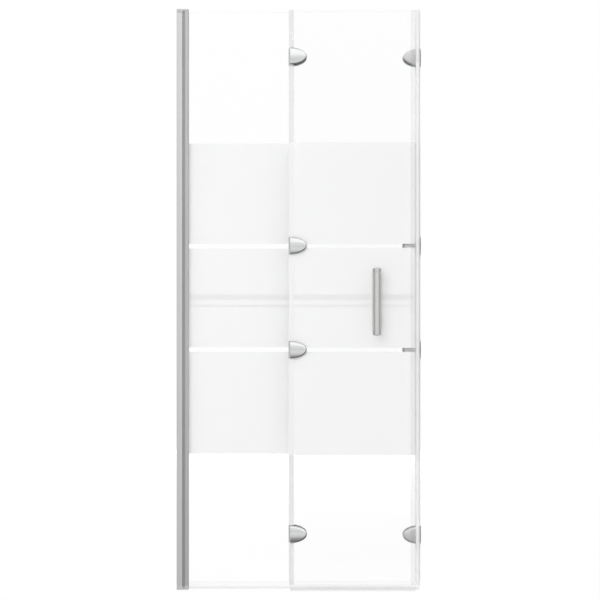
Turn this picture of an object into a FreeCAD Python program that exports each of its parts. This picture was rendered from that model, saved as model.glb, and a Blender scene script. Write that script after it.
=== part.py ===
"""Folding shower screen for a bath, folded up against its fixed panel.

A wide glass panel stands in a two-piece wall profile. A narrower middle panel is hinged to its free edge
and lies folded in front of it, and an end panel with the handle is hinged to the middle panel's other edge
and lies folded in front of that. Each of the two hinge lines has four half-oval clamp hinges.

Millimetres. X runs along the screen from the wall face, Y is the depth with the handle side negative and
the fixed glass's middle plane at zero, Z is up from the foot of the wall profile.
"""
import FreeCAD, Part
import Sketcher
import math
import os
import re

SIZES = {
    # Panels
    "screen_height": 1400,
    "pivot_reach": 585.5,
    "fold_width": 311.9,
    "end_width": 301.4,
    "panel_pitch": 18,
    "glass_thickness": 4,
    "edge_gap": 3.6,
    # Wall profile: channel on the wall, glazing profile that slides in it, end caps
    "profile_width": 28,
    "profile_depth": 26,
    "channel_face": 14.3,
    "channel_wall": 1.8,
    "channel_web": 2.2,
    "profile_round": 1.5,
    "groove_width": 5.3,
    "groove_setback": 1.5,
    "neck_wall": 2,
    "slide_gap": 0.3,
    "screw_room": 4.5,
    "glazing_web": 4.3,
    "chamber_wall": 1.5,
    "cap_height": 9.5,
    "cap_plate": 5,
    "cap_seat": 3,
    "glazing_gasket": 2,
    "gasket_lip": 0.8,
    "glass_float": 0.5,
    "wall_hole_radius": 2.6,
    "wall_hole_inset": 90,
    "wall_hole_spacing": 400,
    "adjuster_radius": 1.75,
    "adjuster_head_radius": 3.5,
    "adjuster_head_height": 2,
    "adjuster_depth": 6,
    "adjuster_inset": 150,
    # Seals
    "seal_wall": 1.2,
    "seal_gap": 0.5,
    "bottom_grip": 12.5,
    "fold_grip": 8,
    "drip_length": 4.8,
    "hinge_seal_grip": 5.5,
    "lip_thickness": 2,
    "lip_gap": 0.7,
    "free_seal_grip": 12.2,
    "bulb_radius": 4.5,
    "bulb_wall": 1,
    "bulb_sink": 0.8,
    # Hinges
    "left_low_inset": 130.7,
    "right_low_inset": 126.1,
    "high_hinge_inset": 111.3,
    "stripe_height": 703.6,
    "stripe_spacing": 249.8,
    "leaf_height": 42,
    "leaf_length": 40,
    "leaf_thickness": 7,
    "dome_share": 1.4,
    "rim_round": 5,
    "pivot_gap": 0.4,
    "arm_gap": 0.4,
    "arm_inset": 0.5,
    "arm_root": 2,
    "knuckle_radius": 3.4,
    "knuckle_length": 11,
    "knuckle_gap": 0.3,
    "knuckle_room": 0.7,
    "pin_radius": 2,
    "pin_clearance": 0.05,
    "leaf_gasket": 1,
    "gasket_inset": 1,
    "clamp_thickness": 3,
    "clamp_screw_radius": 2.5,
    "clamp_screw_reach": 15,
    "clamp_screw_spacing": 18,
    "clamp_screw_depth": 4,
    "clamp_head_radius": 4.5,
    "clamp_head_height": 1.8,
    "screw_clearance": 0.1,
    "glass_hole_radius": 4,
    # Handle
    "handle_inset": 94.7,
    "handle_height": 694.5,
    "handle_length": 160.5,
    "handle_radius": 10.5,
    "handle_standoff": 29.5,
    "handle_cap_height": 11,
    "handle_cap_radius": 11.3,
    "handle_cap_chamfer": 1.5,
    "spigot_radius": 5,
    "spigot_length": 8,
    "post_spacing": 104,
    "post_radius": 6,
    "post_sink": 3,
    "washer_radius": 9,
    "washer_thickness": 1.5,
    "handle_screw_radius": 3,
    "handle_screw_depth": 12,
    "handle_head_radius": 8,
    "handle_head_height": 3,
    "handle_hole_radius": 5,
    # Cuts
    "overrun": 1,
}

LEFT_PIVOT = "(pivot_reach - fold_width)"
HALF_DEPTH = "(profile_depth / 2)"
HALF_GLASS = "(glass_thickness / 2)"
SLIDER_DEPTH = "(profile_depth / 2 - channel_wall - slide_gap)"
SLIDER_START = "(channel_web + screw_room)"
SLOT_START = "(channel_web + screw_room + glazing_web)"
SLOT_DEPTH = "(glass_thickness / 2 + glazing_gasket)"
HEAD_START = "(channel_face + groove_width)"
NECK_DEPTH = "(glass_thickness / 2 + glazing_gasket + neck_wall)"
RAIL_TOP = "(screen_height - cap_height)"
RAIL_LENGTH = "(screen_height - 2 * cap_height)"
GLASS_BOTTOM = "(cap_height - cap_seat)"
GLASS_TOP = "(screen_height - cap_height + cap_seat)"
SEAL_DEPTH = "(glass_thickness / 2 + seal_wall)"
SEAL_TOP = f"({GLASS_BOTTOM} + bottom_grip)"
FOLD_SEAL_TOP = f"({GLASS_BOTTOM} + fold_grip)"
MIDDLE_PLANE = "(-panel_pitch)"
END_PLANE = "(-2 * panel_pitch)"
END_FRONT = f"({END_PLANE} - {HALF_GLASS})"
END_BACK = f"({END_PLANE} + {HALF_GLASS})"
FIXED_START = f"({SLOT_START} + glass_float)"
FIXED_EDGE = "(pivot_reach - edge_gap)"
FOLD_START = f"({LEFT_PIVOT} + edge_gap)"
END_EDGE = f"({LEFT_PIVOT} + end_width)"
# The bottom seals run on past the glass to the pin lines
SEAL_START = f"({LEFT_PIVOT} + seal_gap)"
SEAL_END = "(pivot_reach - seal_gap)"
# Heights of the hinge rows on each pin line, with the inner two on the clear stripes of the frosting
UPPER_ROWS = (
    "(stripe_height - stripe_spacing / 2)",
    "(stripe_height + stripe_spacing / 2)",
    f"({GLASS_TOP} - high_hinge_inset)",
)
HINGE_ROWS = {
    "right": (f"({GLASS_BOTTOM} + right_low_inset)", *UPPER_ROWS),
    "left": (f"({GLASS_BOTTOM} + left_low_inset)", *UPPER_ROWS),
}
# Place of each pin line along the screen and in depth
PIN_LINES = {
    "right": ("pivot_reach", "-panel_pitch / 2"),
    "left": (LEFT_PIVOT, "-panel_pitch - panel_pitch / 2"),
}
# Depths in a hinge, from its pin outwards
INNER_FACE = "(panel_pitch / 2 - glass_thickness / 2)"
OUTER_FACE = "(panel_pitch / 2 + glass_thickness / 2)"
PLATE_FACE = "(panel_pitch / 2 + glass_thickness / 2 + leaf_gasket)"
CLAMP_FACE = "(panel_pitch / 2 - glass_thickness / 2 - leaf_gasket)"
CLAMP_BACK = "(panel_pitch / 2 - glass_thickness / 2 - leaf_gasket - clamp_thickness)"
ARM_START = "(knuckle_radius + knuckle_room)"
ARM_END = "(edge_gap - arm_gap)"
PAD_START = "(edge_gap + arm_gap)"
HALF_LEAF = "(leaf_height / 2)"
# Handle
HANDLE_PLACE = f"({END_EDGE} - handle_inset)"
BAR_DEPTH = f"({END_FRONT} - handle_standoff)"
BAR_BOTTOM = "(handle_height - handle_length / 2 + handle_cap_height)"
BAR_TOP = "(handle_height + handle_length / 2 - handle_cap_height)"

X_AXIS = FreeCAD.Vector(1, 0, 0)
Y_AXIS = FreeCAD.Vector(0, 1, 0)
Z_AXIS = FreeCAD.Vector(0, 0, 1)
NO_TURN = FreeCAD.Rotation()
QUARTER_TURN = 90
HALF_TURN = 180
SAME_POINT = 1e-6
ALONG = {
    "X": FreeCAD.Rotation(Y_AXIS, QUARTER_TURN),
    "Y": FreeCAD.Rotation(X_AXIS, -QUARTER_TURN),
    "Z": NO_TURN,
}
# Each set of hinge leaves: the pin line that it turns on, and how the leaf is turned from the one
# drawn here, whose panel runs along +X and whose outer side is +Y
LEAF_SETS = {
    "fixed_hinge": ("right", FreeCAD.Rotation(Y_AXIS, HALF_TURN)),
    "middle_right": ("right", FreeCAD.Rotation(Z_AXIS, HALF_TURN)),
    "middle_left": ("left", NO_TURN),
    "end_hinge": ("left", FreeCAD.Rotation(X_AXIS, HALF_TURN)),
}

doc = FreeCAD.newDocument("folding_shower_screen")
sheet = doc.addObject("Spreadsheet::Sheet", "sizes")
for line, (size, value) in enumerate(SIZES.items(), start=1):
    sheet.set(f"A{line}", size)
    sheet.set(f"B{line}", str(value))
    sheet.setAlias(f"B{line}", size)
doc.recompute()
nodes = []


def formula(text):
    """Point every size named in a formula at its cell."""
    return re.sub(r"[a-z_]+", lambda word: f"sizes.{word[0]}" if word[0] in SIZES else word[0], text)


def bind(thing, **formulas):
    """Bind properties of an object to formulas in the named sizes."""
    for name, text in formulas.items():
        thing.setExpression(name, formula(text))


def put(thing, x="0", y="0", z="0", turn=NO_TURN):
    """Place an object at a point given in formulas, turned about its own origin."""
    thing.Placement = FreeCAD.Placement(FreeCAD.Vector(), turn)
    for axis, text in zip("xyz", (x, y, z)):
        thing.setExpression(f"Placement.Base.{axis}", formula(text))
    return thing


def node(thing, label):
    """Give a finished sub-part the name that its file takes."""
    thing.Label = label
    nodes.append(thing)
    return thing


def box(name, x, y, z):
    """Box between pairs of low and high formulas."""
    block = doc.addObject("Part::Box", name)
    sides = [f"{high} - ({low})" for low, high in (x, y, z)]
    bind(block, Length=sides[0], Width=sides[1], Height=sides[2])
    return put(block, x[0], y[0], z[0])


def cylinder(name, radius, length, x="0", y="0", z="0", along="Z"):
    """Cylinder that starts at a point and runs along an axis."""
    rod = doc.addObject("Part::Cylinder", name)
    bind(rod, Radius=radius, Height=length)
    return put(rod, x, y, z, ALONG[along])


def compound(name, things):
    """Group of separate solids."""
    group = doc.addObject("Part::Compound", name)
    group.Links = things
    return group


def fuse(name, things):
    """Union of several solids."""
    union = doc.addObject("Part::MultiFuse", name)
    union.Shapes = things
    return union


def common(name, things):
    """Space shared by several solids."""
    shared = doc.addObject("Part::MultiCommon", name)
    shared.Shapes = things
    return shared


def cut(name, base, tools):
    """A solid with others taken out of it."""
    rest = doc.addObject("Part::Cut", name)
    rest.Base = base
    rest.Tool = compound(f"{name}_tools", tools)
    return rest


def upright_edges(shape, places):
    """Names of the edges that stand on given points of the section."""
    names = []
    for number, edge in enumerate(shape.Edges, start=1):
        feet = [FreeCAD.Vector(vertex.X, vertex.Y, 0) for vertex in edge.Vertexes]
        if any(all(foot.isEqual(place, SAME_POINT) for foot in feet) for place in places):
            names.append(f"Edge{number}")
    return names


def extrusion(name, corners, length, plane="XY_Plane", rounded=()):
    """Pad a closed outline whose corners are pairs of formulas, and round the edges at some corners."""
    body = doc.addObject("PartDesign::Body", name)
    sketch = body.newObject("Sketcher::SketchObject", f"{name}_section")
    support = next(item for item in body.Origin.OriginFeatures if item.Role == plane)
    sketch.AttachmentSupport = [(support, "")]
    sketch.MapMode = "FlatFace"
    count = len(corners)
    turns = [2 * math.pi * side / count for side in range(count)]
    starts = [FreeCAD.Vector(math.cos(turn), math.sin(turn), 0) for turn in turns]
    for side in range(count):
        sketch.addGeometry(Part.LineSegment(starts[side], starts[(side + 1) % count]))
    for side in range(count):
        sketch.addConstraint(Sketcher.Constraint("Coincident", side, 2, (side + 1) % count, 1))
    for side, corner in enumerate(corners):
        for kind, place, text in zip(("DistanceX", "DistanceY"), starts[side], corner):
            index = sketch.addConstraint(Sketcher.Constraint(kind, -1, 1, side, 1, place))
            sketch.setExpression(f"Constraints[{index}]", formula(text))
    pad = body.newObject("PartDesign::Pad", f"{name}_pad")
    pad.Profile = sketch
    bind(pad, Length=length)
    if rounded:
        doc.recompute()
        places = [sketch.Geometry[side].StartPoint for side in rounded]
        rounds = body.newObject("PartDesign::Fillet", f"{name}_rounds")
        rounds.Base = (pad, upright_edges(pad.Shape, places))
        bind(rounds, Radius="profile_round")
    return body


def wall_screw_holes():
    """Screw holes through the channel's web: an outer pair and an inner pair about mid height."""
    heights = {
        "low": "wall_hole_inset",
        "lower_middle": "screen_height / 2 - wall_hole_spacing / 2",
        "upper_middle": "screen_height / 2 + wall_hole_spacing / 2",
        "high": "screen_height - wall_hole_inset",
    }
    return [
        cylinder(f"wall_hole_{name}", "wall_hole_radius", "channel_web + 2 * overrun", "-overrun", z=height,
                 along="X")
        for name, height in heights.items()
    ]


def adjusters():
    """Screws that lock the glazing profile in the channel from the back, and their holes."""
    heights = ("adjuster_inset", "screen_height / 2", "screen_height - adjuster_inset")
    place = f"{SLIDER_START} + glazing_web / 2"
    start = f"{HALF_DEPTH} - adjuster_depth"
    screws = []
    holes = []
    for number, height in enumerate(heights, start=1):
        shank = cylinder(f"adjuster_shank_{number}", "adjuster_radius",
                         "adjuster_depth + adjuster_head_height", place, start, height, "Y")
        head = cylinder(f"adjuster_head_{number}", "adjuster_head_radius", "adjuster_head_height",
                        place, HALF_DEPTH, height, "Y")
        screws.append(fuse(f"adjuster_{number}", [shank, head]))
        holes.append(cylinder(f"adjuster_hole_{number}", "adjuster_radius + screw_clearance",
                              "adjuster_depth + overrun", place, start, height, "Y"))
    node(compound("adjusters", screws), "adjusting_screws")
    return holes


def wall_profile():
    """Channel on the wall, glazing profile that slides in it, two gaskets and two end caps."""
    adjuster_holes = adjusters()
    channel = extrusion("channel", (
        ("0", f"-{HALF_DEPTH}"),
        ("channel_face", f"-{HALF_DEPTH}"),
        ("channel_face", f"channel_wall - {HALF_DEPTH}"),
        ("channel_web", f"channel_wall - {HALF_DEPTH}"),
        ("channel_web", f"{HALF_DEPTH} - channel_wall"),
        ("channel_face", f"{HALF_DEPTH} - channel_wall"),
        ("channel_face", HALF_DEPTH),
        ("0", HALF_DEPTH),
    ), RAIL_LENGTH, rounded=(0, 1, 6, 7))
    put(channel, z="cap_height")
    node(cut("drilled_channel", channel, wall_screw_holes() + adjuster_holes), "wall_channel")

    slider_end = "channel_face - groove_setback"
    slider = extrusion("slider", (
        (SLIDER_START, f"-{SLIDER_DEPTH}"),
        (slider_end, f"-{SLIDER_DEPTH}"),
        (slider_end, f"-{NECK_DEPTH}"),
        (HEAD_START, f"-{NECK_DEPTH}"),
        (HEAD_START, f"-{HALF_DEPTH}"),
        ("profile_width", f"-{HALF_DEPTH}"),
        ("profile_width", f"-{SLOT_DEPTH}"),
        (SLOT_START, f"-{SLOT_DEPTH}"),
        (SLOT_START, SLOT_DEPTH),
        ("profile_width", SLOT_DEPTH),
        ("profile_width", HALF_DEPTH),
        (HEAD_START, HALF_DEPTH),
        (HEAD_START, NECK_DEPTH),
        (slider_end, NECK_DEPTH),
        (slider_end, SLIDER_DEPTH),
        (SLIDER_START, SLIDER_DEPTH),
    ), RAIL_LENGTH, rounded=(4, 5, 10, 11))
    put(slider, z="cap_height")
    chamber_near = f"{SLOT_DEPTH} + chamber_wall"
    chamber_far = f"{HALF_DEPTH} - chamber_wall"
    chambers = [
        box(f"chamber_{side}", (f"{HEAD_START} + chamber_wall", "profile_width - chamber_wall"), depth,
            ("cap_height - overrun", f"{RAIL_TOP} + overrun"))
        for side, depth in {
            "front": (f"-({chamber_far})", f"-({chamber_near})"),
            "back": (chamber_near, chamber_far),
        }.items()
    ]
    node(cut("hollow_slider", slider, chambers + adjuster_holes), "glazing_profile")

    gasket_reach = (SLOT_START, "profile_width + gasket_lip")
    rail = ("cap_height", RAIL_TOP)
    front_gasket = box("front_gasket", gasket_reach, (f"-{SLOT_DEPTH}", f"-{HALF_GLASS}"), rail)
    node(front_gasket, "glazing_gasket_front")
    back_gasket = box("back_gasket", gasket_reach, (HALF_GLASS, SLOT_DEPTH), rail)
    node(back_gasket, "glazing_gasket_back")

    end_cap("bottom", "0", ("cap_plate", "cap_height + overrun"),
            (f"{GLASS_BOTTOM} - seal_gap", "cap_height + overrun"))
    end_cap("top", RAIL_TOP, (f"{RAIL_TOP} - overrun", "screen_height - cap_plate"),
            (f"{RAIL_TOP} - overrun", f"{GLASS_TOP} + seal_gap"))


def end_cap(end, start, groove_height, slot_height):
    """Cap with the profile's outline, closed by a plain plate, and a slot that the glass stands in."""
    name = f"{end}_cap"
    block = extrusion(f"{name}_block", (
        ("0", f"-{HALF_DEPTH}"),
        ("profile_width", f"-{HALF_DEPTH}"),
        ("profile_width", HALF_DEPTH),
        ("0", HALF_DEPTH),
    ), "cap_height", rounded=(0, 1, 2, 3))
    put(block, z=start)
    grooves = [
        box(f"{name}_groove_{side}", ("channel_face", HEAD_START), depth, groove_height)
        for side, depth in {
            "front": (f"-{HALF_DEPTH} - overrun", f"-{NECK_DEPTH}"),
            "back": (NECK_DEPTH, f"{HALF_DEPTH} + overrun"),
        }.items()
    ]
    slot = box(f"{name}_slot", (SLOT_START, "profile_width + overrun"),
               (f"-{HALF_GLASS} - slide_gap", f"{HALF_GLASS} + slide_gap"), slot_height)
    node(cut(name, block, grooves + [slot]), f"profile_cap_{end}")


def glass(panel, reach, plane, holes):
    """Sheet of glass with the holes that its hinges and handle are clamped through."""
    sheet_depth = (f"{plane} - {HALF_GLASS}", f"{plane} + {HALF_GLASS}")
    sheet_of_glass = box(f"{panel}_sheet", reach, sheet_depth, (GLASS_BOTTOM, GLASS_TOP))
    node(cut(f"{panel}_drilled", sheet_of_glass, holes), f"{panel}_glass")


def bottom_seal(panel, start, end, plane, top):
    """Channel pushed up over the glass's lower edge, with two drip lips under it."""
    base = f"{GLASS_BOTTOM} - seal_wall"
    foot = f"{GLASS_BOTTOM} - seal_wall - drip_length"
    seal = extrusion(f"{panel}_lower_seal", (
        (f"-{SEAL_DEPTH}", foot),
        (f"seal_wall - {SEAL_DEPTH}", foot),
        (f"seal_wall - {SEAL_DEPTH}", base),
        (f"{SEAL_DEPTH} - seal_wall", base),
        (f"{SEAL_DEPTH} - seal_wall", foot),
        (SEAL_DEPTH, foot),
        (SEAL_DEPTH, top),
        (HALF_GLASS, top),
        (HALF_GLASS, GLASS_BOTTOM),
        (f"-{HALF_GLASS}", GLASS_BOTTOM),
        (f"-{HALF_GLASS}", top),
        (f"-{SEAL_DEPTH}", top),
    ), f"{end} - ({start})", "YZ_Plane")
    put(seal, start, plane)
    node(seal, f"{panel}_bottom_seal")


def hinge_seal(panel, line, plane, turn, bottom_seal_top):
    """Strip that closes the joint between two panels, cut into lengths between the hinges."""
    pivot = PIN_LINES[line][0]
    foot = f"({bottom_seal_top} + seal_gap)"
    web = "(edge_gap - seal_wall)"
    grip = "(edge_gap + hinge_seal_grip)"
    lip = "(lip_gap - edge_gap)"
    half_lip = "(lip_thickness / 2)"
    strip = extrusion(f"{panel}_strip", (
        (grip, f"-{SEAL_DEPTH}"),
        (grip, f"-{HALF_GLASS}"),
        ("edge_gap", f"-{HALF_GLASS}"),
        ("edge_gap", HALF_GLASS),
        (grip, HALF_GLASS),
        (grip, SEAL_DEPTH),
        (web, SEAL_DEPTH),
        (web, half_lip),
        (lip, half_lip),
        (lip, f"-{half_lip}"),
        (web, f"-{half_lip}"),
        (web, f"-{SEAL_DEPTH}"),
    ), f"{GLASS_TOP} - {foot}")
    put(strip, pivot, plane, foot, turn)
    reach = (f"{pivot} - {grip} - overrun", f"{pivot} + {grip} + overrun")
    depth = (f"{plane} - {SEAL_DEPTH} - overrun", f"{plane} + {SEAL_DEPTH} + overrun")
    gaps = [
        box(f"{panel}_gap_{row}", reach, depth,
            (f"{height} - {HALF_LEAF} - seal_gap", f"{height} + {HALF_LEAF} + seal_gap"))
        for row, height in enumerate(HINGE_ROWS[line], start=1)
    ]
    node(cut(f"{panel}_strips", strip, gaps), f"{panel}_hinge_seal")


def free_seal():
    """Bulb seal on the end panel's free edge."""
    foot = f"({FOLD_SEAL_TOP} + seal_gap)"
    height = f"{GLASS_TOP} - {foot}"
    grip = f"{END_EDGE} - free_seal_grip"
    bulb_place = f"{END_EDGE} + seal_wall + bulb_radius - bulb_sink"
    channel = extrusion("free_channel", (
        (grip, f"-{SEAL_DEPTH}"),
        (f"{END_EDGE} + seal_wall", f"-{SEAL_DEPTH}"),
        (f"{END_EDGE} + seal_wall", SEAL_DEPTH),
        (grip, SEAL_DEPTH),
        (grip, HALF_GLASS),
        (END_EDGE, HALF_GLASS),
        (END_EDGE, f"-{HALF_GLASS}"),
        (grip, f"-{HALF_GLASS}"),
    ), height)
    put(channel, "0", END_PLANE, foot)
    bulb = cylinder("bulb", "bulb_radius", height, bulb_place, END_PLANE, foot)
    bore = cylinder("bulb_bore", "bulb_radius - bulb_wall", f"{height} + 2 * overrun", bulb_place, END_PLANE,
                    f"{foot} - overrun")
    node(cut("free_strip", fuse("free_section", [channel, bulb]), [bore]), "end_free_seal")


def half_oval(name, start, low, high, inset="0"):
    """Half of an upright oval plate between two depths, cut off square on the hinge side."""
    outline = doc.addObject("Part::Ellipse", f"{name}_outline")
    bind(outline, MajorRadius=f"leaf_length - {inset}", MinorRadius=f"{HALF_LEAF} - {inset}")
    upright = FreeCAD.Rotation(Y_AXIS, HALF_TURN) * FreeCAD.Rotation(X_AXIS, QUARTER_TURN)
    put(outline, "pivot_gap", low, turn=upright)
    prism = doc.addObject("Part::Extrusion", f"{name}_prism")
    prism.Base = outline
    prism.DirMode = "Custom"
    prism.Dir = Y_AXIS
    prism.Solid = True
    bind(prism, LengthFwd=f"{high} - {low}")
    side = box(f"{name}_side", (start, "pivot_gap + leaf_length + overrun"),
               (f"{low} - overrun", f"{high} + overrun"),
               (f"-{HALF_LEAF} - overrun", f"{HALF_LEAF} + overrun"))
    return common(f"{name}_half", [prism, side])


def rounded_rim(name, plate):
    """Round the edge between a plate's domed face and its side."""
    doc.recompute()
    shape = plate.Shape
    hinge_side = min(vertex.X for vertex in shape.Vertexes) + SAME_POINT
    flat_side = min(vertex.Y for vertex in shape.Vertexes) + SAME_POINT
    rim = []
    for number, edge in enumerate(shape.Edges, start=1):
        middle = edge.valueAt((edge.FirstParameter + edge.LastParameter) / 2)
        if middle.x > hinge_side and middle.y > flat_side:
            rim.append((number, sheet.rim_round, sheet.rim_round))
    rounds = doc.addObject("Part::Fillet", name)
    rounds.Base = plate
    rounds.Edges = rim
    return rounds


def screw_places():
    """Names and heights of the two clamp screws, from the hinge's middle."""
    return {"low": "-clamp_screw_spacing / 2", "high": "clamp_screw_spacing / 2"}.items()


def clamp_bores(name, radius, low, high):
    """A pair of cylinders on the clamp screws' axes."""
    return [
        cylinder(f"{name}_{end}", radius, f"{high} - ({low})", "clamp_screw_reach", low, height, "Y")
        for end, height in screw_places()
    ]


def hinge_leaf(name, knuckle_spans):
    """Domed half-oval plate with an arm round the glass's edge to its knuckles on the pin."""
    dome = doc.addObject("Part::Ellipsoid", f"{name}_dome")
    bind(dome, Radius1=f"{HALF_LEAF} * dome_share", Radius2="leaf_length * dome_share",
         Radius3="leaf_thickness")
    put(dome, "pivot_gap", PLATE_FACE)
    flat = half_oval(f"{name}_plate", "pivot_gap", PLATE_FACE, f"({PLATE_FACE} + leaf_thickness)")
    pieces = [rounded_rim(f"{name}_rounds", common(f"{name}_domed", [flat, dome]))]
    arm_reach = ("pivot_gap", ARM_END)
    pieces.append(box(f"{name}_arm", arm_reach, (ARM_START, f"{PLATE_FACE} + arm_root"),
                      (f"arm_inset - {HALF_LEAF}", f"{HALF_LEAF} - arm_inset")))
    for number, (low, high) in enumerate(knuckle_spans, start=1):
        pieces.append(cylinder(f"{name}_knuckle_{number}", "knuckle_radius", f"{high} - ({low})", z=low))
        root = (f"{low} + arm_inset", f"{high} - arm_inset")
        pieces.append(box(f"{name}_root_{number}", arm_reach, ("0", f"{ARM_START} + overrun"), root))
    pin_hole = cylinder(f"{name}_pin_hole", "pin_radius + pin_clearance", "leaf_height + 2 * overrun",
                        z=f"-{HALF_LEAF} - overrun")
    threads = clamp_bores(f"{name}_thread", "clamp_screw_radius + screw_clearance", f"{PLATE_FACE} - overrun",
                          f"{PLATE_FACE} + clamp_screw_depth")
    return cut(name, fuse(f"{name}_blank", pieces), threads + [pin_hole])


def leaf_gaskets():
    """Pads between the glass and the leaf outside, and between the glass and the clamp plate inside."""
    pads = []
    for side, low, high in (("outer", OUTER_FACE, PLATE_FACE), ("inner", CLAMP_FACE, INNER_FACE)):
        pad = half_oval(f"{side}_pad", PAD_START, low, high, "gasket_inset")
        bores = clamp_bores(f"{side}_pad_bore", "clamp_screw_radius + screw_clearance", f"{low} - overrun",
                            f"{high} + overrun")
        pads.append(cut(f"{side}_gasket", pad, bores))
    return compound("gasket_pair", pads)


def clamp_plate():
    """Flat half-oval plate that the screws draw against the glass from the inner side."""
    plate = half_oval("clamp", PAD_START, CLAMP_BACK, CLAMP_FACE, "gasket_inset")
    bores = clamp_bores("clamp_bore", "clamp_screw_radius + screw_clearance", f"{CLAMP_BACK} - overrun",
                        f"{CLAMP_FACE} + overrun")
    recesses = clamp_bores("clamp_recess", "clamp_head_radius + screw_clearance", f"{CLAMP_BACK} - overrun",
                           f"{CLAMP_BACK} + clamp_head_height")
    return cut("clamp_plate", plate, bores + recesses)


def clamp_screws():
    """Pair of flush screws from the clamp plate through the glass into the leaf."""
    shanks = clamp_bores("clamp_shank", "clamp_screw_radius", CLAMP_BACK,
                         f"{PLATE_FACE} + clamp_screw_depth - screw_clearance")
    heads = clamp_bores("clamp_head", "clamp_head_radius", CLAMP_BACK, f"{CLAMP_BACK} + clamp_head_height")
    return compound("clamp_screw_pair", [
        fuse(f"clamp_screw_{number}", list(pieces))
        for number, pieces in enumerate(zip(shanks, heads), start=1)
    ])


def on_rows(name, pattern, leaf_set):
    """Copies of a piece at the four hinge rows of one set of leaves."""
    line, turn = LEAF_SETS[leaf_set]
    pivot, depth = PIN_LINES[line]
    return [
        put(compound(f"{leaf_set}_{name}_{row}", [pattern]), pivot, depth, height, turn)
        for row, height in enumerate(HINGE_ROWS[line], start=1)
    ]


def hinges():
    """All hinge pieces, and the holes that they need in each panel's glass."""
    outer_spans = (
        (f"-{HALF_LEAF}", f"knuckle_length - {HALF_LEAF}"),
        (f"{HALF_LEAF} - knuckle_length", HALF_LEAF),
    )
    inner_reach = f"({HALF_LEAF} - knuckle_length - knuckle_gap)"
    outer_leaf = hinge_leaf("outer_leaf", outer_spans)
    inner_leaf = hinge_leaf("inner_leaf", ((f"-{inner_reach}", inner_reach),))
    pin = cylinder("hinge_pin", "pin_radius", "leaf_height", z=f"-{HALF_LEAF}")
    leaves = {"fixed_hinge": outer_leaf, "middle_right": inner_leaf, "middle_left": outer_leaf,
              "end_hinge": inner_leaf}
    gaskets = leaf_gaskets()
    plate = clamp_plate()
    screws = clamp_screws()
    hole_pair = compound("glass_hole_pair", clamp_bores(
        "glass_hole", "glass_hole_radius", f"{INNER_FACE} - overrun", f"{OUTER_FACE} + overrun"))
    for leaf_set, leaf in leaves.items():
        for row, copy in enumerate(on_rows("leaf", leaf, leaf_set), start=1):
            node(copy, f"{leaf_set}_leaf_{row}")
        for name, pattern in (("gaskets", gaskets), ("clamp_plates", plate), ("clamp_screws", screws)):
            node(compound(f"{leaf_set}_{name}", on_rows(name, pattern, leaf_set)), f"{leaf_set}_{name}")
    node(compound("right_pins", on_rows("pin", pin, "fixed_hinge")), "fixed_hinge_pins")
    node(compound("left_pins", on_rows("pin", pin, "middle_left")), "middle_hinge_pins")
    return {leaf_set: on_rows("hole", hole_pair, leaf_set) for leaf_set in leaves}


def ring(name, radius, bore, low, high, height):
    """Washer or sleeve on one of the handle screws' axes."""
    disc = cylinder(f"{name}_disc", radius, f"{high} - ({low})", HANDLE_PLACE, low, height, "Y")
    hole = cylinder(f"{name}_bore", bore, f"{high} - ({low}) + 2 * overrun", HANDLE_PLACE, f"{low} - overrun",
                    height, "Y")
    return cut(name, disc, [hole])


def handle_cap(end, seat, outward):
    """Chamfered cap with a spigot in the bar's end, drawn upright and turned over for the lower end."""
    name = f"handle_{end}"
    straight = "handle_cap_height - handle_cap_chamfer"
    side = cylinder(f"{name}_side", "handle_cap_radius", straight)
    rim = doc.addObject("Part::Cone", f"{name}_rim")
    bind(rim, Radius1="handle_cap_radius", Radius2="handle_cap_radius - handle_cap_chamfer",
         Height="handle_cap_chamfer")
    put(rim, z=straight)
    spigot = cylinder(f"{name}_spigot", "spigot_radius", "spigot_length + overrun", z="-spigot_length")
    cap = fuse(f"{name}_cap", [side, rim, spigot])
    put(cap, HANDLE_PLACE, BAR_DEPTH, seat, outward)
    node(cap, f"handle_cap_{end}")


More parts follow.
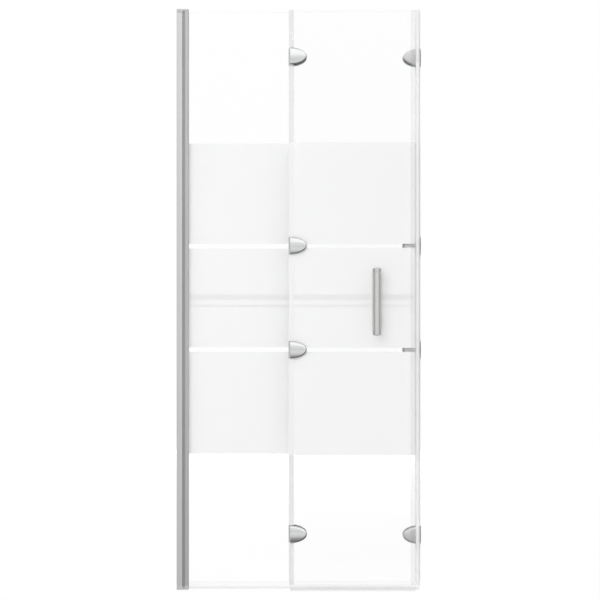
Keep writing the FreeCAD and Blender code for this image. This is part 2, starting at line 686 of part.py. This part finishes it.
def handle():
    """Upright bar on two posts, screwed through the end panel's glass, and the holes that it needs."""
    post_seat = f"{BAR_DEPTH} + handle_radius - post_sink"
    post_foot = f"{END_FRONT} - washer_thickness"
    screw_tip = f"{END_FRONT} - washer_thickness - handle_screw_depth"
    head_seat = f"{END_BACK} + washer_thickness"
    bore = "handle_screw_radius + screw_clearance"
    sockets = []
    washers = []
    sleeves = []
    screws = []
    holes = []
    for end, height in {
        "bottom": "handle_height - post_spacing / 2",
        "top": "handle_height + post_spacing / 2",
    }.items():
        place = {"x": HANDLE_PLACE, "z": height, "along": "Y"}
        post = cylinder(f"post_{end}", "post_radius", f"{post_foot} - ({post_seat})", y=post_seat, **place)
        thread = cylinder(f"post_thread_{end}", bore, "handle_screw_depth + screw_clearance + overrun",
                          y=f"{screw_tip} - screw_clearance", **place)
        node(cut(f"drilled_post_{end}", post, [thread]), f"handle_post_{end}")
        sockets.append(cylinder(f"socket_{end}", "post_radius + screw_clearance", "post_sink + overrun",
                                y=post_seat, **place))
        washers.append(ring(f"front_washer_{end}", "washer_radius", bore, post_foot, END_FRONT, height))
        washers.append(ring(f"back_washer_{end}", "washer_radius", bore, END_BACK, head_seat, height))
        sleeves.append(ring(f"sleeve_{end}", "handle_hole_radius - screw_clearance", bore, END_FRONT,
                            END_BACK, height))
        shank = cylinder(f"handle_shank_{end}", "handle_screw_radius",
                         f"{head_seat} + handle_head_height - ({screw_tip})", y=screw_tip, **place)
        head = cylinder(f"handle_head_{end}", "handle_head_radius", "handle_head_height", y=head_seat,
                        **place)
        screws.append(fuse(f"handle_screw_{end}", [shank, head]))
        holes.append(cylinder(f"handle_hole_{end}", "handle_hole_radius", "glass_thickness + 2 * overrun",
                              y=f"{END_FRONT} - overrun", **place))
    node(compound("washers", washers), "handle_washers")
    node(compound("sleeves", sleeves), "handle_sleeves")
    node(compound("screws", screws), "handle_screws")

    bar = cylinder("bar", "handle_radius", f"{BAR_TOP} - {BAR_BOTTOM}", HANDLE_PLACE, BAR_DEPTH, BAR_BOTTOM)
    end_depth = "spigot_length + screw_clearance"
    for end, start in {
        "bottom": f"{BAR_BOTTOM} - overrun",
        "top": f"{BAR_TOP} - ({end_depth})",
    }.items():
        sockets.append(cylinder(f"bar_end_{end}", "spigot_radius + screw_clearance", f"{end_depth} + overrun",
                                HANDLE_PLACE, BAR_DEPTH, start))
    node(cut("drilled_bar", bar, sockets), "handle_bar")
    handle_cap("bottom", BAR_BOTTOM, FreeCAD.Rotation(X_AXIS, HALF_TURN))
    handle_cap("top", BAR_TOP, NO_TURN)
    return holes


def check():
    """Stop at any object that failed, and at any sub-part without a sound solid."""
    for thing in doc.Objects:
        if "Invalid" in thing.State or "Error" in thing.State:
            raise RuntimeError(f"{thing.Name} failed: {thing.State}")
    for thing in nodes:
        if thing.Shape.isNull() or not thing.Shape.isValid() or not thing.Shape.Solids:
            raise RuntimeError(f"{thing.Label} has no valid solid")


wall_profile()
hinge_holes = hinges()
handle_holes = handle()
glass("fixed", (FIXED_START, FIXED_EDGE), "0", hinge_holes["fixed_hinge"])
middle_holes = hinge_holes["middle_right"] + hinge_holes["middle_left"]
glass("middle", (FOLD_START, FIXED_EDGE), MIDDLE_PLANE, middle_holes)
glass("end", (FOLD_START, END_EDGE), END_PLANE, hinge_holes["end_hinge"] + handle_holes)
bottom_seal("fixed", "profile_width + gasket_lip + seal_gap", SEAL_END, "0", SEAL_TOP)
bottom_seal("middle", SEAL_START, SEAL_END, MIDDLE_PLANE, FOLD_SEAL_TOP)
bottom_seal("end", SEAL_START, END_EDGE, END_PLANE, FOLD_SEAL_TOP)
hinge_seal("fixed", "right", "0", FreeCAD.Rotation(Z_AXIS, HALF_TURN), SEAL_TOP)
hinge_seal("end", "left", END_PLANE, NO_TURN, FOLD_SEAL_TOP)
free_seal()

doc.recompute()
check()
os.makedirs("parts", exist_ok=True)
for sub_part in nodes:
    sub_part.Shape.exportStep(f"parts/{sub_part.Label}.step")
    print(sub_part.Label, len(sub_part.Shape.Solids), round(sub_part.Shape.Volume))
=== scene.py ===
"""Looks of the folding shower screen: finishes of the CAD pieces, frosting, studio and camera.

Metres, in the part's own frame: X along the screen from the wall face, Y the depth with the handle side
negative, Z up from the foot of the wall profile.
"""
import math

import bmesh
import bpy
from mathutils import Matrix, Vector


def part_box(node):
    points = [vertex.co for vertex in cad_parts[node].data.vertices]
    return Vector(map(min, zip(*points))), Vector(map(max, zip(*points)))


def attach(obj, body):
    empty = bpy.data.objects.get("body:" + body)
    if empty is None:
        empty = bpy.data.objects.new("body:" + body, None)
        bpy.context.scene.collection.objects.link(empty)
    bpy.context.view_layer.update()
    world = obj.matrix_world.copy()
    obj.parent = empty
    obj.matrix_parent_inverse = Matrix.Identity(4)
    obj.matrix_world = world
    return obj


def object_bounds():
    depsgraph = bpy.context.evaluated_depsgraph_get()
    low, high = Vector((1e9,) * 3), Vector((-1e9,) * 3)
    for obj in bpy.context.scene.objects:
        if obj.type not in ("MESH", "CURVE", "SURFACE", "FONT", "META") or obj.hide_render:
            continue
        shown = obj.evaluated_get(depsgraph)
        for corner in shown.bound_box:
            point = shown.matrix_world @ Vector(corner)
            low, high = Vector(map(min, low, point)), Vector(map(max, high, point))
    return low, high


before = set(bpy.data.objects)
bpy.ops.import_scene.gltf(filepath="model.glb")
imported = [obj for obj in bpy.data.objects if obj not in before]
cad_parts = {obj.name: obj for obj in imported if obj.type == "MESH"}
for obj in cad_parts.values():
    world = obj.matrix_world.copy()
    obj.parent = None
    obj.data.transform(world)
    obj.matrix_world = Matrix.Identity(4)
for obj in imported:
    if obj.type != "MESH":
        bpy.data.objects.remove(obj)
CAD_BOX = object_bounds()

# Frosting: three bands, with clear stripes between them at the two inner hinge rows.
# The reach of the top and the bottom band is from the middle of the stripe beside it
LOW_STRIPE_ROW = 2
HIGH_STRIPE_ROW = 3
TOP_BAND = 0.2483
BOTTOM_BAND = 0.2523
STRIPE_HEIGHTS = {"fixed": 0.0114, "middle": 0.0125, "end": 0.0095}
FROSTING_THICKNESS = 0.00006
FROSTING_GAP = 0.00002
FROSTING_MARGIN = 0.001
# Share of the frosting's body that lets the light through
FROSTING_GLOW_SHARE = 0.08
# The face of each panel's glass that carries the frosting: one side of the screen when it is unfolded
FROSTED_FACES = {"fixed": 1, "middle": -1, "end": 1}
BODIES = {"fixed": "wall_side", "middle": "middle_panel", "end": "end_panel"}

# Clear pieces, which let the light through to the frosting behind them
CLEAR_SLOTS = ("glass", "seal", "washer")
# Faint mirror on the glass, the same on its near and its far face
GLASS_IOR = 1.18
# Share of the normal along Y above which the glass shows a face, and not an edge
FACE_LIMIT = 0.5
# Share of the glass's edges that is solid
EDGE_SOLID_SHARE = 0.18
# Clear plastic: spread of its level to each side, and the share of its milk that lets the light through
PLASTIC_SPREAD = 0.015
PLASTIC_GLOW_SHARE = 0.05

# Open groove in the wall profile's face, beside the channel, whose metal is painted dark as the groove's
# shade
GROOVE_WIDTH = 0.0053
GROOVE_SHADE_LEVEL = 0.53
# The hinges between the fixed and the middle panel, whose plating is satin and whose barrels are painted
# darker as painted shade.
# The inner barrels turn between the others, and are painted darker still as the shade between them
OUTER_LEAVES = "fixed_hinge_leaf"
INNER_LEAVES = "middle_right_leaf"
BARREL_RADIUS = 0.0034
BARREL_SHADE_LEVEL = 0.53
INNER_BARREL_SHADE_LEVEL = 0.38
BARREL_SPREAD = 0.03
# Room that keeps the border between two colours off the edge of a shape
BORDER_ROOM = 0.0001

# Slight tints, where a finish has a dark and a light one in that order
GLASS_TINT = (0.999, 1, 0.9995)
GLASS_EDGE_TINTS = ((0.93, 1, 0.97), (0.95, 1, 0.98))
ALUMINIUM_TINTS = ((0.995, 1, 1), (0.995, 1, 1.005))
CHROME_TINT = (0.99, 1, 1.01)
STEEL_BAR_TINT = (1, 1, 0.985)
# Depth of the relief: fine grain, and the slow waves in plastic and in glass
FINE_RELIEF = 0.0001
PLASTIC_RELIEF = 0.0003
GLASS_RELIEF = 0.001
# The range in which most of a noise lies
NOISE_LOW = 0.3
NOISE_HIGH = 0.7

# Camera, level and square to the screen. The view's width is taken in the fixed glass's middle plane, and
# the sensor is in millimetres
CAMERA_PLACE = Vector((0.2974, -4.25, 0.6985))
VIEW_WIDTH = 1.451
SENSOR = 36.0

# Lamps: a soft key light high on the left, and a soft light before and behind the screen
LIGHT_AIM = Vector((0.3, 0.0, 0.75))
LIGHTS = {
    "key": {"place": Vector((-1.1, -4.0, 2.4)), "size": 2.8, "power": 54},
    "front": {"place": Vector((0.1, -3.4, 0.5)), "size": 0.6, "power": 19},
    "back": {"place": Vector((0.5, 4.0, 1.0)), "size": 1.8, "power": 48},
}
# Sky: its level by the sine of the direction's height above the horizon. Gloss mirrors it at full strength,
# and as a light it has the strength below
SKY_LEVELS = (
    (-1.0, 0.14),
    (-0.6, 0.17),
    (-0.37, 0.21),
    (-0.28, 0.38),
    (-0.21, 0.61),
    (-0.12, 0.72),
    (0.1, 0.73),
    (0.22, 1.0),
    (0.4, 1.06),
    (0.75, 1.06),
    (1.0, 0.55),
)
SKY_STRENGTH = 0.692
# Dark flags on both sides of the screen, which draw the rims of the metal: the share of the direction
# along X where they start and where they are full, and the level of the left and the right one
FLAG_START = 0.62
FLAG_FULL = 0.86
FLAG_LEVELS = (0.52, 0.55)
# Thin dark lines on the studio's horizon: middle and half width of each, as sines of the height
HORIZON_LINES = ((0.0016, 0.0022), (-0.0034, 0.0009))
HORIZON_DARKNESS = 1.0
# Floor: the share of its own shading that shows, and the white over it that makes the whole read white
FLOOR_SIZE = 8
FLOOR_SHADE = 0.2
FLOOR_WHITE = 1.075
FLOOR_DROP = 0.0005

# Clear faces that a ray may pass one after the other, and turns of the light between the frosted panels
CLEAR_LAYERS = 40
LIGHT_TURNS = 10

# Sockets of the Mix node that are for colours: others there have the same names
MIX_SHARE = 0
MIX_FIRST = 6
MIX_SECOND = 7
MIX_RESULT = 2


def node(tree, kind, values=(), **settings):
    """Add a node: its settings, and the values of its inputs, linked where the value is a socket."""
    made = tree.nodes.new(kind)
    for name, setting in settings.items():
        setattr(made, name, setting)
    for name, value in dict(values).items():
        if isinstance(value, bpy.types.NodeSocket):
            tree.links.new(value, made.inputs[name])
        else:
            made.inputs[name].default_value = value
    return made


def math_node(tree, operation, *values):
    """Result of a sum on plain numbers and sockets."""
    return node(tree, "ShaderNodeMath", enumerate(values), operation=operation).outputs[0]


def map_range(tree, value, low, high, start=0, end=1, **settings):
    """Value that goes from low to high while another goes from start to end."""
    values = {"Value": value, "From Min": start, "From Max": end, "To Min": low, "To Max": high}
    return node(tree, "ShaderNodeMapRange", values, **settings).outputs[0]


def mix_colours(tree, share, first, second):
    """Colour between two others, by the share of the second."""
    values = {MIX_SHARE: share, MIX_FIRST: first, MIX_SECOND: second}
    return node(tree, "ShaderNodeMix", values, data_type="RGBA").outputs[MIX_RESULT]


def mix_shaders(tree, share, first, second):
    """Shader between two others, by the share of the second."""
    return node(tree, "ShaderNodeMixShader", {0: share, 1: first.outputs[0], 2: second.outputs[0]})


def grey(level, tint=(1, 1, 1)):
    """Colour of a given level, with a slight tint."""
    return (*(level * part for part in tint), 1)


def along(tree, axis, coordinate="Object"):
    """Part along one axis of a texture coordinate, which is the place in the part's frame unless named."""
    place = node(tree, "ShaderNodeTexCoord").outputs[coordinate]
    return node(tree, "ShaderNodeSeparateXYZ", {0: place}).outputs[axis]


def grain(tree, scale, squeeze=(1, 1, 1), detail=2):
    """Noise fixed to the piece, drawn out along an axis where squeeze is under 1."""
    place = node(tree, "ShaderNodeTexCoord").outputs["Object"]
    mapping = node(tree, "ShaderNodeMapping", {"Vector": place, "Scale": squeeze})
    noise = node(tree, "ShaderNodeTexNoise", {
        "Vector": mapping.outputs[0], "Scale": scale, "Detail": detail})
    return noise.outputs["Fac"]


def spread(tree, noise, low, high):
    """Noise spread over a range of values."""
    return map_range(tree, noise, low, high, NOISE_LOW, NOISE_HIGH)


def blend(tree, noise, dark, light):
    """Colour between two others, by noise."""
    return mix_colours(tree, spread(tree, noise, 0, 1), dark, light)


def bump(tree, noise, strength, depth=FINE_RELIEF):
    """Surface relief from noise."""
    values = {"Height": noise, "Strength": strength, "Distance": depth}
    return node(tree, "ShaderNodeBump", values).outputs[0]


def ray_kind(tree, first, *others):
    """1 for rays of the named kinds, and 0 for all others."""
    rays = node(tree, "ShaderNodeLightPath").outputs
    found = rays[first]
    for kind in others:
        found = math_node(tree, "MAXIMUM", found, rays[kind])
    return found


def material(name, build):
    """Material whose surface is the shader that a function builds in its tree."""
    made = bpy.data.materials.new(name)
    made.use_nodes = True
    tree = made.node_tree
    tree.nodes.clear()
    node(tree, "ShaderNodeOutputMaterial", {"Surface": build(tree).outputs[0]})
    return made


def principled(tree, values):
    """Principled shader with given values."""
    return node(tree, "ShaderNodeBsdfPrincipled", values)


def row_height(row):
    """Height of a hinge row."""
    low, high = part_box(f"fixed_hinge_leaf_{row}")
    return (low.z + high.z) / 2


def clear_glass(tree):
    """Safety glass: clear faces with a faint mirror, and pale green edges."""
    through = node(tree, "ShaderNodeBsdfTransparent", {"Color": grey(0.999, GLASS_TINT)})
    waves = grain(tree, scale=5, squeeze=(1, 1, 0.6), detail=0)
    mirror = node(tree, "ShaderNodeBsdfGlossy", {
        "Color": grey(1),
        "Roughness": 0.0,
        "Normal": bump(tree, waves, strength=0.02, depth=GLASS_RELIEF),
    })
    far_side = node(tree, "ShaderNodeNewGeometry").outputs["Backfacing"]
    bend = map_range(tree, far_side, GLASS_IOR, 1 / GLASS_IOR)
    fresnel = node(tree, "ShaderNodeFresnel", {"IOR": bend}).outputs[0]
    face = mix_shaders(tree, fresnel, through, mirror)
    dark_tint, light_tint = GLASS_EDGE_TINTS
    edge_body = principled(tree, {
        "Base Color": blend(tree, grain(tree, scale=60), grey(0.72, dark_tint), grey(0.82, light_tint)),
        "Roughness": 0.12,
        "IOR": 1.5,
    })
    edge = mix_shaders(tree, EDGE_SOLID_SHARE, through, edge_body)
    facing = math_node(tree, "ABSOLUTE", along(tree, "Y", "Normal"))
    is_face = math_node(tree, "GREATER_THAN", facing, FACE_LIMIT)
    return mix_shaders(tree, is_face, edge, face)


def frosted_film(tree):
    """Even white frosting: a fine grain under a smooth, glossy face."""
    fine = grain(tree, scale=2600, detail=3)
    cloud = grain(tree, scale=7, detail=3)
    fleck = blend(tree, fine, grey(0.95), grey(0.97))
    colour = mix_colours(tree, spread(tree, cloud, 0, 0.3), fleck, grey(0.965))
    body = principled(tree, {
        "Base Color": colour,
        "Roughness": 0.6,
        "Normal": bump(tree, fine, strength=0.1),
        "Coat Weight": 1.0,
        "Coat Roughness": 0.0,
        "Coat IOR": 2.0,
    })
    glow = node(tree, "ShaderNodeBsdfTranslucent", {"Color": colour})
    return mix_shaders(tree, FROSTING_GLOW_SHARE, body, glow)


def satin_aluminium(tree):
    """Anodised extrusion with fine lines along it: pale channel, groove painted dark as its shade, greyer
    glazing profile.
    """
    lines = grain(tree, scale=1400, squeeze=(1, 1, 0.004), detail=3)
    cloud = grain(tree, scale=9, squeeze=(1, 1, 0.3))
    dark_tint, light_tint = ALUMINIUM_TINTS
    channel = blend(tree, lines, grey(0.82, dark_tint), grey(0.87, light_tint))
    head = blend(tree, lines, grey(0.67, dark_tint), grey(0.73, light_tint))
    reach = along(tree, "X")
    groove_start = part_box("wall_channel")[1].x + BORDER_ROOM
    groove_end = groove_start + GROOVE_WIDTH - 2 * BORDER_ROOM
    past_channel = math_node(tree, "GREATER_THAN", reach, groove_start)
    past_groove = math_node(tree, "GREATER_THAN", reach, groove_end)
    # Painted shade: the strip of the face in the groove is painted dark
    head_with_groove_shade = mix_colours(tree, past_groove, grey(GROOVE_SHADE_LEVEL), head)
    return principled(tree, {
        "Base Color": mix_colours(tree, past_channel, channel, head_with_groove_shade),
        "Metallic": 1.0,
        "Roughness": spread(tree, cloud, 0.3, 0.4),
        "Normal": bump(tree, lines, strength=0.06),
    })


def cap_plastic(tree):
    """Fine matt moulded plastic in the profile's grey."""
    fine = grain(tree, scale=2400)
    return principled(tree, {
        "Base Color": blend(tree, grain(tree, scale=120), grey(0.48), grey(0.52)),
        "Roughness": spread(tree, fine, 0.42, 0.55),
        "Normal": bump(tree, fine, strength=0.12),
    })


def polished_chrome(tree):
    """Polished plating with a trace of handling marks."""
    marks = grain(tree, scale=260, squeeze=(1, 1, 0.35), detail=4)
    return principled(tree, {
        "Base Color": blend(tree, marks, grey(0.9, CHROME_TINT), grey(0.94)),
        "Metallic": 1.0,
        "Specular Tint": grey(0.05),
        "Roughness": spread(tree, marks, 0.05, 0.11),
    })


def satin_chrome(tree, barrel_shade_level=BARREL_SHADE_LEVEL):
    """Satin plating on the hinges between the fixed and the middle panel, with the barrels painted darker
    as painted shade.
    """
    marks = grain(tree, scale=900, squeeze=(0.2, 1, 1), detail=3)
    plate = blend(tree, marks, grey(0.9), grey(0.95))
    # Painted shade: the barrels are darker than the plate
    barrel = blend(tree, marks, grey(barrel_shade_level - BARREL_SPREAD), grey(barrel_shade_level + BARREL_SPREAD))
    low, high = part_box("fixed_hinge_pins")
    pin_depth = (low.y + high.y) / 2
    on_barrel = math_node(tree, "COMPARE", along(tree, "Y"), pin_depth, BARREL_RADIUS + BORDER_ROOM)
    return principled(tree, {
        "Base Color": mix_colours(tree, on_barrel, plate, barrel),
        "Metallic": 1.0,
        "Roughness": spread(tree, marks, 0.52, 0.6),
    })


def worn_satin_chrome(tree):
    """The same plating on the leaves whose barrels turn between the others, painted darker still as the
    shade between them.
    """
    return satin_chrome(tree, INNER_BARREL_SHADE_LEVEL)


def turned_steel(tree):
    """Turned screws and pins."""
    turned = grain(tree, scale=3200, squeeze=(0.2, 0.2, 1))
    return principled(tree, {
        "Base Color": blend(tree, turned, grey(0.6), grey(0.7)),
        "Metallic": 1.0,
        "Roughness": spread(tree, turned, 0.25, 0.38),
        "Normal": bump(tree, turned, strength=0.08),
    })


def clear_plastic(tree, clearness, solid, level, roughness, other_level=None, in_other=None):
    """Clear soft plastic: see-through but for a solid share, with a milky body and a soft gloss.

    A second level, where given, takes over where its mask is 1.
    """
    cloud = grain(tree, scale=30, squeeze=(1, 1, 0.1))
    through = node(tree, "ShaderNodeBsdfTransparent", {"Color": grey(clearness)})
    colour = blend(tree, cloud, grey(level - PLASTIC_SPREAD), grey(level + PLASTIC_SPREAD))
    if in_other:
        colour = mix_colours(tree, in_other, colour, grey(other_level))
    body = principled(tree, {
        "Base Color": colour,
        "Roughness": roughness,
        "IOR": 1.48,
        "Normal": bump(tree, cloud, strength=0.03, depth=PLASTIC_RELIEF),
    })
    glow = node(tree, "ShaderNodeBsdfTranslucent", {"Color": colour})
    milk = mix_shaders(tree, PLASTIC_GLOW_SHARE, body, glow)
    return mix_shaders(tree, solid, through, milk)


def clear_seal(tree):
    """Clear push-on seals on the glass's lower edges, with soft lips under them painted darker as painted
    shade.
    """
    below_glass = math_node(tree, "LESS_THAN", along(tree, "Z"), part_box("fixed_glass")[0].z)
    solid = map_range(tree, below_glass, low=0.02, high=0.05)
    # Below the glass the lips are painted darker, as painted shade at the foot
    return clear_plastic(tree, clearness=0.991, solid=solid, level=0.9, roughness=0.18,
                         other_level=0.4, in_other=below_glass)


def milky_seal(tree):
    """Softer, milky strips between the panels."""
    return clear_plastic(tree, clearness=0.985, solid=0.92, level=0.79, roughness=0.3)


def strip_seal(tree):
    """The same strip on the end panel, painted whiter where it lies over the frosting, as painted light
    from the frosting through it.
    """
    low = row_height(LOW_STRIPE_ROW) - BOTTOM_BAND
    high = row_height(HIGH_STRIPE_ROW) + TOP_BAND
    in_bands = math_node(tree, "COMPARE", along(tree, "Z"), (low + high) / 2, (high - low) / 2)
    # Painted light: the strip is whiter inside the frosted bands
    return clear_plastic(tree, clearness=0.985, solid=0.92, level=0.765, roughness=0.3,
                         other_level=0.855, in_other=in_bands)


def bulb_seal(tree):
    """Clear grip on the end panel's free edge, with a soft milky bulb beyond the glass."""
    in_bulb = math_node(tree, "GREATER_THAN", along(tree, "X"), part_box("end_glass")[1].x + BORDER_ROOM)
    solid = map_range(tree, in_bulb, low=0.03, high=0.72)
    return clear_plastic(tree, clearness=0.98, solid=solid, level=0.75, roughness=0.25,
                         other_level=0.83, in_other=in_bulb)


def clear_washer(tree):
    """Clear hard washers and sleeves at the handle."""
    return clear_plastic(tree, clearness=0.985, solid=0.35, level=0.8, roughness=0.15)


def soft_gasket(tree):
    """Pale grey rubber pads and glazing gaskets."""
    fine = grain(tree, scale=1800, detail=3)
    return principled(tree, {
        "Base Color": blend(tree, fine, grey(0.7), grey(0.76)),
        "Roughness": spread(tree, fine, 0.6, 0.75),
        "Normal": bump(tree, fine, strength=0.15),
    })


def brushed_steel(tree):
    """Satin bar with fine lines along its length."""
    lines = grain(tree, scale=2600, squeeze=(1, 1, 0.02), detail=3)
    return principled(tree, {
        "Base Color": blend(tree, lines, grey(0.85, STEEL_BAR_TINT), grey(0.91, STEEL_BAR_TINT)),
        "Metallic": 1.0,
        "Specular Tint": grey(0.45),
        "Roughness": spread(tree, lines, 0.26, 0.34),
        "Normal": bump(tree, lines, strength=0.1),
    })


def dark_chrome(tree):
    """Polished end caps of the handle, a little darker than the bar."""
    marks = grain(tree, scale=400, detail=3)
    return principled(tree, {
        "Base Color": blend(tree, marks, grey(0.8), grey(0.86)),
        "Metallic": 1.0,
        "Roughness": spread(tree, marks, 0.2, 0.28),
    })


def dress_parts():
    """Give every CAD piece the finish of its material slot, or one of its own."""
    finishes = {
        "glass": clear_glass,
        "profile": satin_aluminium,
        "cap": cap_plastic,
        "chrome": polished_chrome,
        "steel": turned_steel,
        "seal": clear_seal,
        "gasket": soft_gasket,
        "washer": clear_washer,
        "handle": brushed_steel,
        "handle_cap": dark_chrome,
    }
    special = {
        "end_free_seal": bulb_seal,
        "end_hinge_seal": strip_seal,
        "fixed_hinge_seal": milky_seal,
        **{name: satin_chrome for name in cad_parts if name.startswith(OUTER_LEAVES)},
        **{name: worn_satin_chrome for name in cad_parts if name.startswith(INNER_LEAVES)},
    }
    builders = sorted({*finishes.values(), *special.values()}, key=lambda build: build.__name__)
    made = {build: material(build.__name__, build) for build in builders}
    for name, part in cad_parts.items():
        slot = part.material_slots[0]
        part.visible_shadow = slot.material.name not in CLEAR_SLOTS
        slot.material = made[special.get(name, finishes[slot.material.name])]


def add_mesh(name, mesh, finish):
    """Link a finished mesh into the scene."""
    data = bpy.data.meshes.new(name)
    mesh.to_mesh(data)
    mesh.free()
    piece = bpy.data.objects.new(name, data)
    bpy.context.scene.collection.objects.link(piece)
    piece.data.materials.append(finish)
    return piece


def slab(mesh, low, high):
    """Closed box between two corners."""
    place = Matrix.Translation((low + high) / 2) @ Matrix.Diagonal((*(high - low), 1))
    bmesh.ops.create_cube(mesh, size=1, matrix=place)


def frost_panels():
    """Three frosted bands on one face of each panel's glass."""
    finish = material("frosted_film", frosted_film)
    low_stripe = row_height(LOW_STRIPE_ROW)
    high_stripe = row_height(HIGH_STRIPE_ROW)
    for panel, side in FROSTED_FACES.items():
        half = STRIPE_HEIGHTS[panel] / 2
        bands = (
            (low_stripe - BOTTOM_BAND, low_stripe - half),
            (low_stripe + half, high_stripe - half),
            (high_stripe + half, high_stripe + TOP_BAND),
        )
        low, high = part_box(f"{panel}_glass")
        face = high.y if side > 0 else low.y
        near = face + side * FROSTING_GAP
        far = near + side * FROSTING_THICKNESS
        mesh = bmesh.new()
        for bottom, top in bands:
            slab(mesh, Vector((low.x + FROSTING_MARGIN, min(near, far), bottom)),
                 Vector((high.x - FROSTING_MARGIN, max(near, far), top)))
        film = add_mesh(f"{panel}_frosting", mesh, finish)
        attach(film, BODIES[panel])


def sky_colour(tree, height):
    """Grey of the sky at a height above the horizon."""
    ramp = node(tree, "ShaderNodeValToRGB", {"Fac": map_range(tree, height, 0, 1, -1, 1)})
    stops = ramp.color_ramp.elements
    # A new ramp has a stop at each end, so the others start between them
    while len(stops) < len(SKY_LEVELS):
        stops.new(0.5)
    for stop, (sine, level) in zip(stops, SKY_LEVELS):
        stop.position = (sine + 1) / 2
        stop.color = grey(level)
    return ramp.outputs["Color"]


def mirrored_strength(tree, height):
    """Strength of the sky in gloss: 1, but for the dark flags at the sides and the lines on the horizon."""
    aside = along(tree, "X", "Generated")
    flag_level = map_range(tree, aside, *FLAG_LEVELS, -FLAG_START, FLAG_START)
    strength = map_range(tree, math_node(tree, "ABSOLUTE", aside), 1, flag_level, FLAG_START, FLAG_FULL,
                         interpolation_type="SMOOTHSTEP")
    for middle, half in HORIZON_LINES:
        away = math_node(tree, "ABSOLUTE", math_node(tree, "SUBTRACT", height, middle))
        line = map_range(tree, away, 1 - HORIZON_DARKNESS, 1, half / 2, half,
                         interpolation_type="SMOOTHSTEP")
        strength = math_node(tree, "MULTIPLY", line, strength)
    return strength


def build_world():
    """White to the eye and through the glass, and a graded studio to gloss and to all that it lights."""
    world = bpy.data.worlds.new("studio")
    bpy.context.scene.world = world
    world.use_nodes = True
    tree = world.node_tree
    tree.nodes.clear()
    height = along(tree, "Z", "Generated")
    in_gloss = ray_kind(tree, "Is Glossy Ray")
    strength = map_range(tree, in_gloss, SKY_STRENGTH, mirrored_strength(tree, height))
    studio = node(tree, "ShaderNodeBackground", {"Color": sky_colour(tree, height), "Strength": strength})
    white = node(tree, "ShaderNodeBackground", {"Color": grey(1), "Strength": 1.0})
    seen = ray_kind(tree, "Is Camera Ray", "Is Transmission Ray")
    both = mix_shaders(tree, seen, studio, white)
    node(tree, "ShaderNodeOutputWorld", {"Surface": both.outputs[0]})


def pale_floor(tree):
    """Pale floor that reads white to the eye and keeps a soft shadow."""
    body = node(tree, "ShaderNodeBsdfDiffuse", {
        "Color": blend(tree, grain(tree, scale=3), grey(0.86), grey(0.88))})
    white = node(tree, "ShaderNodeEmission", {"Color": grey(1), "Strength": FLOOR_WHITE})
    seen = ray_kind(tree, "Is Camera Ray", "Is Transmission Ray", "Is Glossy Ray")
    lift = math_node(tree, "MULTIPLY", seen, 1 - FLOOR_SHADE)
    return mix_shaders(tree, lift, body, white)


def build_floor():
    """Plain floor under the screen, which the metal doesn't mirror."""
    mesh = bmesh.new()
    middle = (CAD_BOX[0] + CAD_BOX[1]) / 2
    place = Matrix.Translation((middle.x, middle.y, CAD_BOX[0].z - FLOOR_DROP))
    bmesh.ops.create_grid(mesh, x_segments=1, y_segments=1, size=FLOOR_SIZE / 2, matrix=place)
    floor = add_mesh("floor", mesh, material("pale_floor", pale_floor))
    floor.visible_glossy = False


def build_lights():
    """Large soft lights, which neither the camera nor the metal sees."""
    for name, made in LIGHTS.items():
        light = bpy.data.lights.new(name, "AREA")
        light.size = made["size"]
        light.energy = made["power"]
        lamp = bpy.data.objects.new(name, light)
        lamp.location = made["place"]
        lamp.rotation_euler = (LIGHT_AIM - made["place"]).to_track_quat("-Z", "Y").to_euler()
        lamp.visible_camera = False
        lamp.visible_glossy = False
        bpy.context.scene.collection.objects.link(lamp)


def build_camera():
    """Level camera that looks square at the screen."""
    lens = bpy.data.cameras.new("camera")
    lens.sensor_width = SENSOR
    lens.lens = SENSOR * -CAMERA_PLACE.y / VIEW_WIDTH
    camera = bpy.data.objects.new("camera", lens)
    camera.location = CAMERA_PLACE
    camera.rotation_euler = (math.pi / 2, 0, 0)
    bpy.context.scene.collection.objects.link(camera)
    bpy.context.scene.camera = camera


dress_parts()
frost_panels()
build_world()
build_floor()
build_lights()
build_camera()
bpy.context.scene.view_settings.view_transform = "Standard"
bpy.context.scene.cycles.transparent_max_bounces = CLEAR_LAYERS
bpy.context.scene.cycles.diffuse_bounces = LIGHT_TURNS
